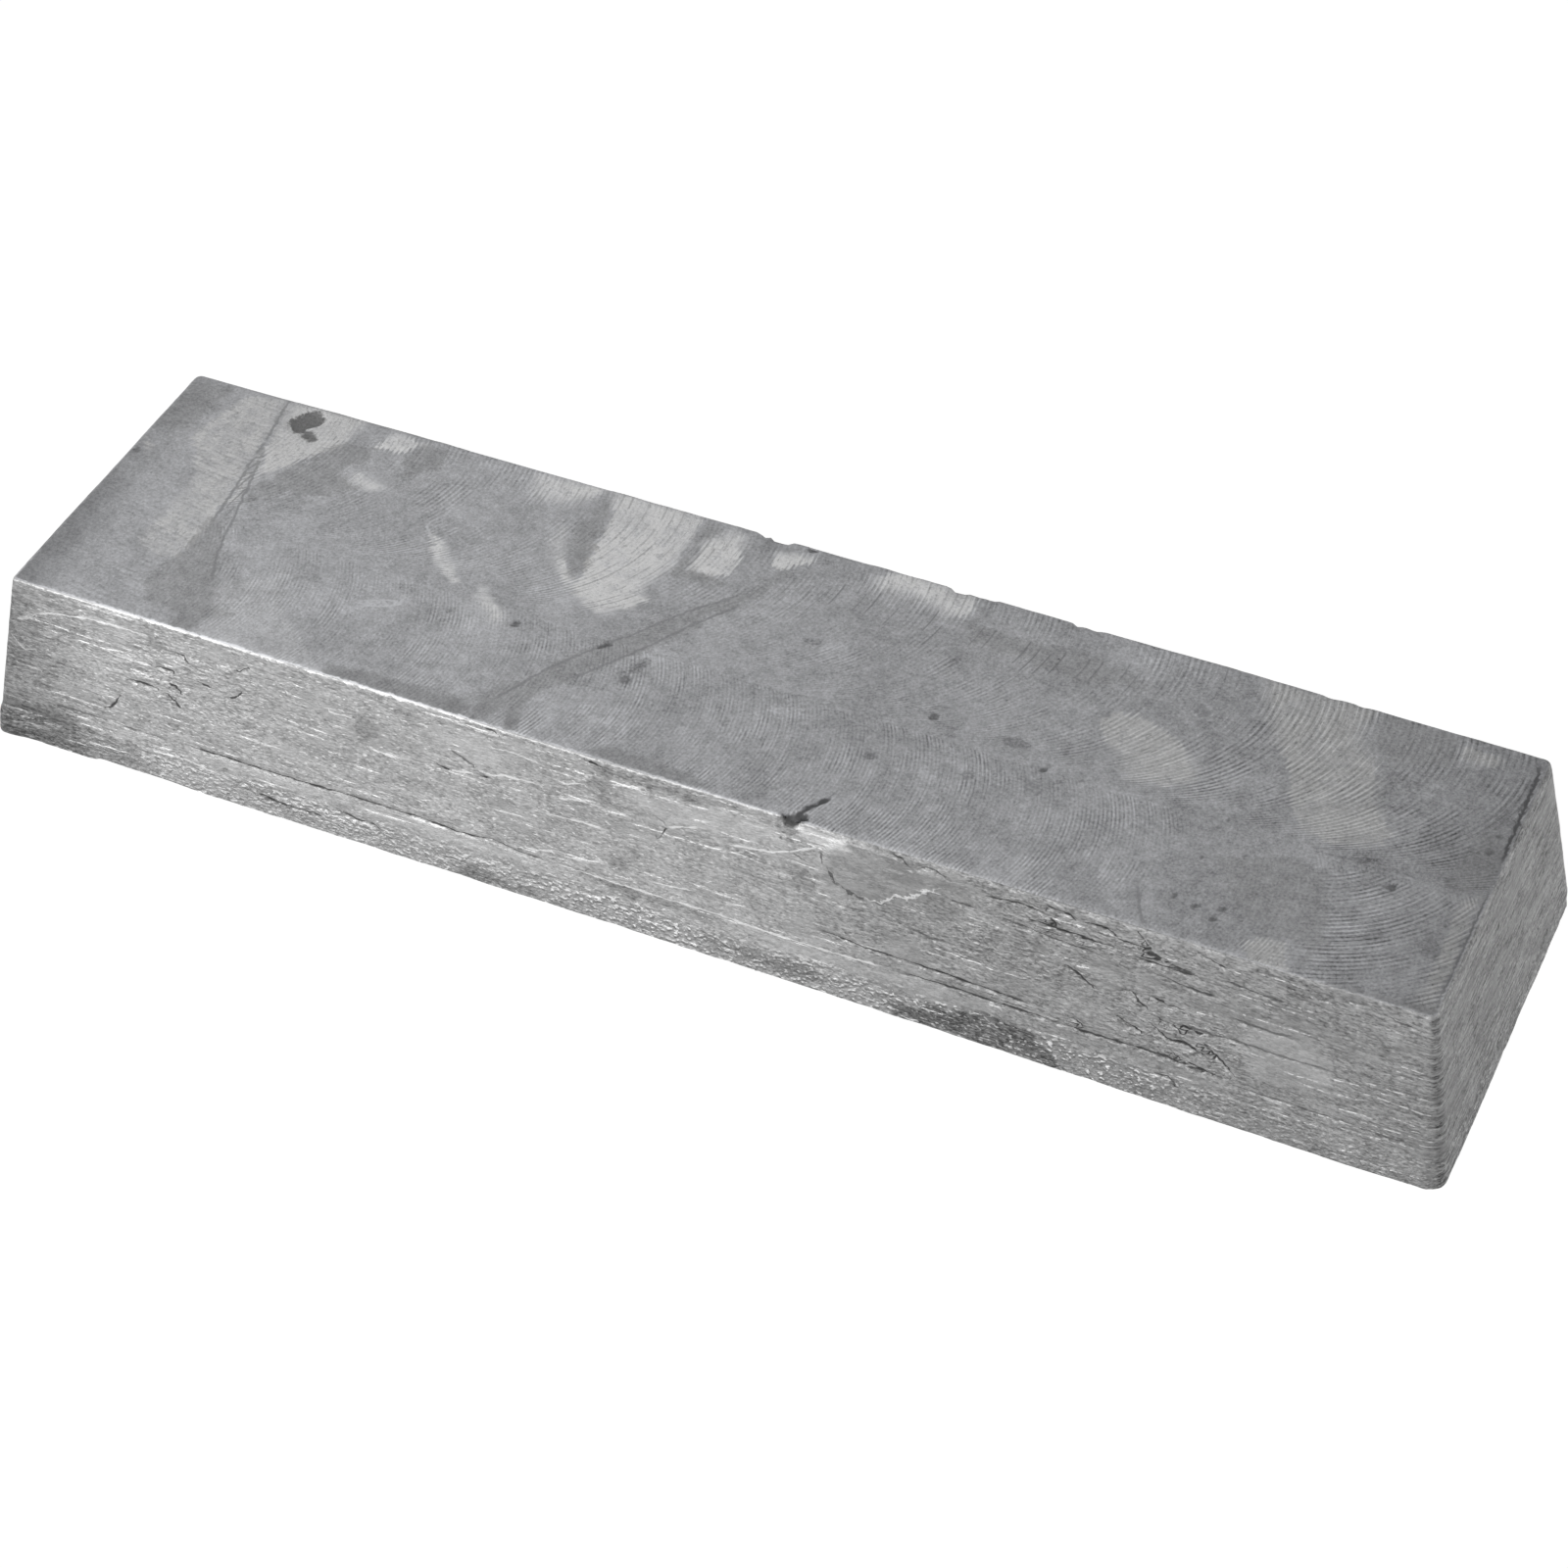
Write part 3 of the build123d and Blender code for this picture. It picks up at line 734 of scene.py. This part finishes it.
    # painted shade under the fold's left edge and a painted highlight on its right rim
    foldEdgeShade = abs(fold - 0.1).ramp(0.5, 0.1) * x.ramp(46, 40) * z.ramp(34.5, 32)
    foldEdgeShade = foldEdgeShade * cloud(2, 2).ramp(-0.16, 0)
    foldLit = abs(fold + 0.3).ramp(0.5, 0.1) * x.ramp(36, 40) * z.ramp(34.5, 32)
    foldLit = foldLit * cloud(1.6, 1.6).ramp(-0.2, -0.05)
    facet = (fact(bench, "lightSide") + cloud(1.4, 1.4, 3) * 2).ramp(0.4, -0.4) * z.ramp(33.4, 34.2)
    facet = facet * x.ramp(22.6, 23.4) * x.ramp(37, 36)
    arrisWearAndHighlight = rubbedAndLitArris(x, y, fact(bench, "rim"), cloud(1.5, 0.9, 3, 0.65) * 2.6)

    height = streak * 0.04 + grain * 0.17 + ledge * ledgeShare * (0.05 - 0.045 * corner)
    height = height + wrinkles * cloud(1.6, 0.9, 2) * 0.4 + z.ramp(9.5, 5) * bead * 0.5
    dim = 0.13 + 0.06 * x.ramp(36, 46) - 0.05 * leftEnd - 0.12 * x.ramp(100, 112)
    shade = frostedSide["shade"] + broad * 0.16 + (patch - 0.5) * 0.07 + light * 0.07 - dark * dim
    # right of the middle the skin is a tone darker; at the left end it gets painted shade, more towards the
    # floor
    shade = shade - x.ramp(20, 50) * 0.08 - x.ramp(-118, -146) * (0.18 + 0.03 * z.ramp(15, 4))
    # painted shade on the right end face and its corner, more towards the floor; the fold is a tone darker
    shade = shade - x.ramp(134, 144) * 0.03 - onEnd * (0.05 + 0.06 * z.ramp(12, 2)) - onFold * 0.03
    shade = shade + (grain * 0.8 + streak * (0.12 + 0.2 * ends + 0.45 * onEnd)) * lively - foot * 0.02
    # painted shade in pinholes and under the foot's beads
    pinholeShade = pepper * lively * (0.75 - 0.15 * leftward)
    shade = mix(shade, 0.15, pinholeShade.most(below * (0.5 + 0.3 * rightFoot)))
    # painted shade under the mould's lips and in the wrinkles' creases
    shadowed = shadow * lively * (0.3 + 0.3 * ends + 0.2 * onEnd)
    shade = mix(shade, 0.14, shadowed.most(crease * (0.45 + 0.4 * x.ramp(-60, 60))))
    # painted glints on grains, beads, lips and crack edges, together with the bright scuffs that are real
    # wear
    glintAndScuff = (salt * lively).most(white * (0.8 + 0.45 * rightFoot - 0.6 * dark))
    glintAndScuff = beadedLipHighlight.most(scuff).most(lit).most(glintAndScuff) * (0.7 - 0.4 * leftEnd)
    shade = mix(shade, 0.95, glintAndScuff)
    # painted highlights on the creases' upper lips, and the bright facet under the top edge
    shade = mix(shade, 0.8, (creaseLip * (1 - crease) * 0.4).most(facet * (0.5 + grain * 1.2)))
    shade = mix(shade, 0.27 + grain * 0.7, blot * 0.85)
    # painted shade in the cracks and under the fold's edge
    shade = shade * (1 - line * 0.9) * (1 - foldEdgeShade * 0.75)
    # painted highlights on the fold's rim and along the arris, the arris partly rubbed bright
    shade = mix(shade, 0.95, (foldLit * 0.8).most(arrisWearAndHighlight))
    # painted shade in the hole of the cold shut
    shade = mix(shade, 0.07, hole * 0.95)
    roughness = frostedSide["roughness"] + grain * 0.15 + blot * 0.1
    finishMetal(bench, shade, roughness, frostedSide["metallic"], height)
    return material


filmedTop = {
    "shade": 0.5, "lightShade": 0.97, "darkShade": 0.36, "roughness": 0.7, "metallic": 0.3,
    "cutterRadius": 33.1, "backPass": 28.3, "frontPass": -21.8, "passEdge": -4.8,  # mm
    "backPitch": 1.05, "frontPitch": 0.8, "rightPitch": 1.25, "cutPitch": 1.88,
    "turnX": 107.3, "turnY": 7.7, "turnPitch": 1,  # where it turned at the right end
    "ribPitch": 1.36,  # left end
    "slitPitch": 2.43,
}


def filmedTopMaterial():
    material, bench = newMaterial("filmedTop")
    x, y, z = placeInMm(bench)

    def cloud(sizeMm, detail=2, roughness=0.5, stretch=1):
        return bench.noise(x / (sizeMm * stretch), y / sizeMm, z / sizeMm, detail, roughness) - 0.5

    def passTravel(passLine):  # how far along the bar the cutter stood when it left this point
        away = y - passLine
        return x - (filmedTop["cutterRadius"] ** 2 - away * away).most(0) ** 0.5

    def cutterLines(turns, seed):  # narrow ridges and grooves of uneven strength, smeared along their arcs
        wave = (turns * (2 * math.pi)).math("COSINE")
        ridges = bench.noise(turns.math("FLOOR") * 0.73, y / 8 + seed, x / 60, 2)
        grooves = bench.noise((turns + 0.5).math("FLOOR") * 0.73, y / 8 - seed, x / 60, 2)
        drag = bench.noise(turns * 2.6, y / 4 + seed, x / 50, 3, 0.62) - 0.5
        high = wave.ramp(0, 1) * ridges.ramp(0.38, 0.62)
        return high - wave.ramp(0, -1) * grooves.ramp(0.38, 0.62) + drag * 1.6

    # milled arcs of two passes, the turn at the right end and the ribs at the left end
    onBack = y.ramp(filmedTop["passEdge"] - 0.2, filmedTop["passEdge"] + 0.2)
    ridged = (x + cloud(10) * 16).ramp(40, 60)  # at the right only the ridges are worn bright
    backTravel = passTravel(filmedTop["backPass"])
    leftLines = cutterLines(backTravel / filmedTop["backPitch"], 3)
    backLines = mix(leftLines, cutterLines(backTravel / filmedTop["rightPitch"], 61), ridged)
    frontLines = cutterLines(passTravel(filmedTop["frontPass"]) / filmedTop["frontPitch"], 17)
    turnX, turnY = x - filmedTop["turnX"], y - filmedTop["turnY"]
    turnLines = cutterLines((turnX * turnX + turnY * turnY) ** 0.5 / filmedTop["turnPitch"], 31)
    ribLines = cutterLines((y + x * 0.12 + cloud(20) * 3) / filmedTop["ribPitch"], 47)
    onTurn = (x + cloud(9) * 12).ramp(110, 120) * (y + cloud(7) * 6).ramp(-4, -8)
    onRibs = (x + cloud(9) * 6).ramp(-117, -120)
    lines = mix(mix(mix(frontLines, backLines, onBack), turnLines, onTurn), ribLines, onRibs)

    # film, wear and stains
    mottle = cloud(12, 4, 0.66)
    smear = cloud(2.6, 3, 0.62)
    grain = cloud(0.5, 3, 0.7)
    stain = cloud(7.5, 4, 0.68).ramp(0.04, 0.16)
    worn = cloud(7, 4, 0.7, 1.6).ramp(0.06, 0.18)
    torn = cloud(2, 3, 0.7)
    jagged = torn * 4.2 - lines * 0.5
    broken = 0.72 + 0.28 * torn.ramp(-0.14, -0.04) - onRibs * 0.4 * smear.ramp(0.06, -0.1)
    fade = 0.4 + 2.2 * cloud(11, 2).ramp(-0.04, 0.12)
    light = (fact(bench, "lightSide") + jagged + cloud(7) * 2.5).ramp(fade, -fade) * broken
    dull = 0.8 * y.ramp(-9, -15) * (0.45 + 0.55 * x.ramp(-116, -110)) * x.ramp(-40, -60)
    light = light * (0.72 + 0.28 * cloud(8, 3, 0.6).ramp(-0.14, 0.06)) * (1 - dull)
    inner = 0.3 + 0.7 * abs(y).ramp(33, 27)
    dark = (fact(bench, "darkSide") + (jagged + cloud(7, 3, 0.6) * 7) * inner).ramp(0.9, -0.9)
    onFront = (1 - onBack) * x.ramp(-56, -42)
    calm = x.ramp(76, 90) * (1 - onTurn)
    share = 0.12 + 0.65 * cloud(13, 3, 0.6).ramp(-0.08, 0.14) + light * 0.2
    share = (share + onFront * 0.2) * (1 - onFront * calm * 0.85)
    share = share * (1 - onRibs * (1 - light) * 0.6)
    cutAt = backTravel / filmedTop["cutPitch"]
    cutEven = bench.noise(cutAt.math("FLOOR") * 0.73, y / 7, 90, 1)
    cut = abs(cutAt - cutAt.math("FLOOR") - 0.5).ramp(0.16, 0.05) * cutEven.ramp(0.44, 0.54)
    cut = cut * x.ramp(-76, -60) * (1 - ridged)
    nick = (bench.noise(backTravel / 0.5, y / 2.2, 5, 1) - 0.5).ramp(0.14, 0.2)
    fleck = cloud(1.1, 3, 0.66).ramp(0.14, 0.24) * cloud(9, 3).ramp(0, 0.12)

    # slits where the tool chattered
    slits = backTravel / filmedTop["slitPitch"]
    slit = slits.math("FLOOR")
    drawn = bench.noise(slit * 3.7, 9, 0, 0)
    shift = bench.noise(slit * 5.1, 77, 0, 0) - 0.5
    onSlit = abs(slits - slit - 0.5).ramp(0.1, 0.04) * drawn.ramp(0.42, 0.54)
    onSlit = onSlit * (abs(y - 24.3 + shift * 18) - drawn * 4).ramp(1.6, 0.6) * x.ramp(-4, 3) * x.ramp(72, 62)
    side, gap, deep = strokeFacts(bench)
    ragged = side + cloud(1.3, 3) * 1.2
    # grooves and cracks are painted dark as shade in them, blacker the deeper they are
    grooveShade = deep.ramp(0.2, 0.5)
    width = (0.45 + grooveShade * 0.35) * (1 - 0.35 * x.ramp(130, 136))
    groove = strokeMask(ragged + cloud(1, 3, 0.6) * 1.2 * x.ramp(130, 136), gap, width, 1.6)
    groove = groove * deep.ramp(0.02, 0.1)
    scuff = strokeMask(side + cloud(0.9, 3) * 0.7, gap, 0.4, 1.2) * deep.ramp(-0.02, -0.08)
    blotDeep = fact(bench, "blotDeep")
    # deeper pits are painted darker, as shade in them
    pitShade = blotDeep.ramp(-0.1, 0.4)
    dotted = mix(cloud(0.75, 2).ramp(-0.06, 0.06), 1, pitShade.ramp(0.5, 0.8))
    small = blotDeep.ramp(0.12, 0.2) * blotDeep.ramp(0.5, 0.46)
    blotSide = fact(bench, "blotSide") - small * 0.12 + cloud(1.1, 4, 0.68) * (2.6 - small * 1.6)
    blot = blotSide.ramp(0.4, -0.25) * (0.5 + 0.5 * dotted)
    speck = cloud(1.5, 3, 0.6).ramp(-0.2, -0.3)
    seam = abs(y - filmedTop["passEdge"] + cloud(20) * 1.2).ramp(0.5, 0.1) * (1 - onTurn) * (1 - onRibs)
    seam = seam * cloud(9, 3).ramp(-0.02, 0.14)
    ends = x.ramp(-132, -145).most(x.ramp(120, 143))
    arrisWearAndHighlight = rubbedAndLitArris(x, y, fact(bench, "rim"), cloud(1.4, 3, 0.6) * 1.8)

    shade = filmedTop["shade"] + mottle * 0.42 + smear * 0.24 + grain * 0.7
    shade = shade + lines * share * (0.16 + 0.09 * x.ramp(76, 92))
    # painted shade, darker towards the right where the lamp's light falls off, more at the back
    shade = shade - x.ramp(-50, 60) * 0.06 - x.ramp(60, 120) * (0.03 + 0.03 * onBack)
    shade = shade - stain * 0.05 + worn * 0.06 - onFront * y.ramp(-22, -6) * x.ramp(80, 40) * 0.03
    pale = filmedTop["lightShade"] - ridged * 0.33 - x.ramp(84, 92) * 0.06 - x.ramp(-98, -104) * 0.13
    pale = pale - onRibs * 0.1 + lines.most(0) * (0.02 + ridged * 0.2)
    pale = pale + lines.least(0) * (0.08 + ridged * 0.07) + grain * 0.62 + smear * 0.2
    pale = pale - nick * 0.25 - cut * 0.26
    shade = mix(shade, pale, light * 0.9)
    dusky = filmedTop["darkShade"] + grain * 0.5 + smear * 0.25 + lines * 0.03
    shade = mix(shade, dusky, dark * (0.6 + 0.35 * y.ramp(-28, -31)))
    shade = mix(shade, 0.6 + grain * 0.4, fleck * 0.5)
    shade = mix(shade, 0.2, onSlit * 0.6) - speck * 0.2
    shade = shade * (1 - ends * 0.22) * (1 - x.ramp(-130, -144) * y.ramp(12, -12) * 0.32)
    # painted shade in the drawn grooves
    shade = mix(shade, mix(0.29, 0.08, grooveShade), groove * (0.75 + grooveShade * 0.2))
    shade = mix(shade, 0.66 + grain * 0.4, (scuff * 0.9).most(seam * 0.25))
    # blots darken, and deeper pits more, as painted shade
    shade = mix(shade, mix(0.3, 0.12, pitShade) + grain * 0.3, blot * 0.85)
    # painted highlight along the arris, partly rubbed bright
    shade = mix(shade, 0.95, arrisWearAndHighlight)
    # painted shade in the hole of the cold shut
    shade = mix(shade, 0.07, coldShut(bench, cloud(1.2, 3) * 1.2) * 0.95)
    height = grain * 0.1 + smear * 0.03
    roughness = filmedTop["roughness"] + mottle * 0.15 + dark * 0.05
    metallic = filmedTop["metallic"] - light * 0.16
    finishMetal(bench, shade, roughness, metallic, height, 1.042 - light * 0.04 - dark * 0.01)
    return material


pourSide = {"shade": 0.4, "roughness": 0.5, "metallic": 0.85}


def pourSideMaterial():
    material, bench = newMaterial("pourSide")
    x, y, z = placeInMm(bench)

    def cloud(sizeMm, detail=2):
        return bench.noise(x / sizeMm, y / sizeMm, z / sizeMm, detail) - 0.5

    frost = cloud(7, 4)
    grain = cloud(0.7, 3)
    shade = pourSide["shade"] + frost * 0.2 + grain * 0.12
    roughness = pourSide["roughness"] + frost * 0.1
    finishMetal(bench, shade, roughness, pourSide["metallic"], frost * 0.3 + grain * 0.1)
    return material


def castIngot():
    tree = ingotTree([
        (frostedSideMaterial(), None), (filmedTopMaterial(), "onTop"), (pourSideMaterial(), "onFoot"),
    ])
    host = bpy.data.objects.new("ingotHost", bpy.data.meshes.new("ingotHost"))
    scene.collection.objects.link(host)
    modifier = host.modifiers.new("castIngot", "NODES")
    modifier.node_group = tree
    box = (cadHigh - cadLow) / mm
    values = {"Foot Long": box.x, "Foot Wide": box.y, "Height": box.z, **ingotShape, **drawings}
    for item in tree.interface.items_tree:
        if item.in_out == "INPUT":
            modifier[item.identifier] = values[item.name]
    depsgraph = bpy.context.evaluated_depsgraph_get()
    mesh = bpy.data.meshes.new_from_object(host.evaluated_get(depsgraph))
    mesh.name = "ingotBody"
    bpy.data.objects.remove(host)
    body = bpy.data.objects.new("ingotBody", mesh)
    scene.collection.objects.link(body)
    return body


ingotBody = castIngot()
for drawing in drawings.values():
    bpy.data.objects.remove(drawing)
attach(ingotBody, "root")
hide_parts("ingot")
print("ingot cast:", len(ingotBody.data.polygons), "faces")

studio = {
    "floorHalf": 6.0, "floorShade": 1.0, "floorGlow": 0.92,  # painted white, and lit from below
    "tableGlow": 0.3,  # how far that light also falls on the bar
    "pictureGlow": 1.08,  # straight from the camera, so that no grey is left beside the bar
    "skyStrength": 0.15,  # on the bar; where it is seen it is white
    "keyPlace": (-0.45, -0.62, 0.36), "keySize": 0.7, "keyPower": 5.7,
    "fillPlace": (0.85, 0.35, 0.25), "fillSize": 0.8, "fillPower": 2.0,
}


def seenRay(bench):  # 1 for rays that end in the picture, also by way of the metal
    ray = bench.node("ShaderNodeLightPath")
    return ray.out("Is Camera Ray").most(ray.out("Is Glossy Ray").most(ray.out("Is Transmission Ray")))


def studioFloor():
    half = studio["floorHalf"]
    mesh = bpy.data.meshes.new("floor")
    corners = [(-half, -half, 0), (half, -half, 0), (half, half, 0), (-half, half, 0)]
    mesh.from_pydata(corners, [], [(0, 1, 2, 3)])
    floor = bpy.data.objects.new("floor", mesh)
    scene.collection.objects.link(floor)
    material, bench = newMaterial("paleFloor")
    shade = studio["floorShade"]
    straight = bench.node("ShaderNodeLightPath").out("Is Camera Ray")
    glow = mix(studio["tableGlow"], 1.0, seenRay(bench)).most(straight * studio["pictureGlow"])
    paint = bench.node("ShaderNodeBsdfDiffuse", {}, {"Color": (shade, shade, shade, 1)})
    light = bench.node("ShaderNodeEmission", {}, {"Color": grey(bench, glow), "Strength": 1.0})
    blend = bench.node("ShaderNodeMixShader", {}, {"Fac": studio["floorGlow"], 1: paint, 2: light})
    bench.node("ShaderNodeOutputMaterial", {}, {"Surface": blend})
    mesh.materials.append(material)


def softLamp(name, place, size, power):
    lamp = bpy.data.lights.new(name, "AREA")
    lamp.shape = "DISK"
    lamp.size = size
    lamp.energy = power
    holder = bpy.data.objects.new(name, lamp)
    holder.location = place
    holder.rotation_euler = (-Vector(place)).to_track_quat("-Z", "Y").to_euler()
    scene.collection.objects.link(holder)


def studioSky():
    world = bpy.data.worlds.new("studioSky")
    world.use_nodes = True
    bench = Bench(world.node_tree)
    world.node_tree.nodes.clear()
    strength = mix(studio["skyStrength"], 1.0, seenRay(bench))
    light = bench.node("ShaderNodeBackground", {}, {"Color": (1, 1, 1, 1), "Strength": strength})
    bench.node("ShaderNodeOutputWorld", {}, {"Surface": light})
    scene.world = world


photoCamera = {
    "place": (0.23398, -0.49096, 0.52782),
    "turnDegrees": (46.2676, 0.6151, 24.4549),
    "lens": 89.21, "sensorWidth": 36.0,  # mm
    "nearest": 0.01,
}


def addCamera():
    camera = bpy.data.cameras.new("photoCamera")
    camera.lens = photoCamera["lens"]
    camera.sensor_width = photoCamera["sensorWidth"]
    camera.clip_start = photoCamera["nearest"]
    holder = bpy.data.objects.new("photoCamera", camera)
    holder.location = photoCamera["place"]
    holder.rotation_euler = [math.radians(turn) for turn in photoCamera["turnDegrees"]]
    scene.collection.objects.link(holder)
    scene.camera = holder


studioFloor()
softLamp("keyLamp", studio["keyPlace"], studio["keySize"], studio["keyPower"])
softLamp("fillLamp", studio["fillPlace"], studio["fillSize"], studio["fillPower"])
studioSky()
addCamera()
scene.view_settings.view_transform = "Standard"
print("studio set")
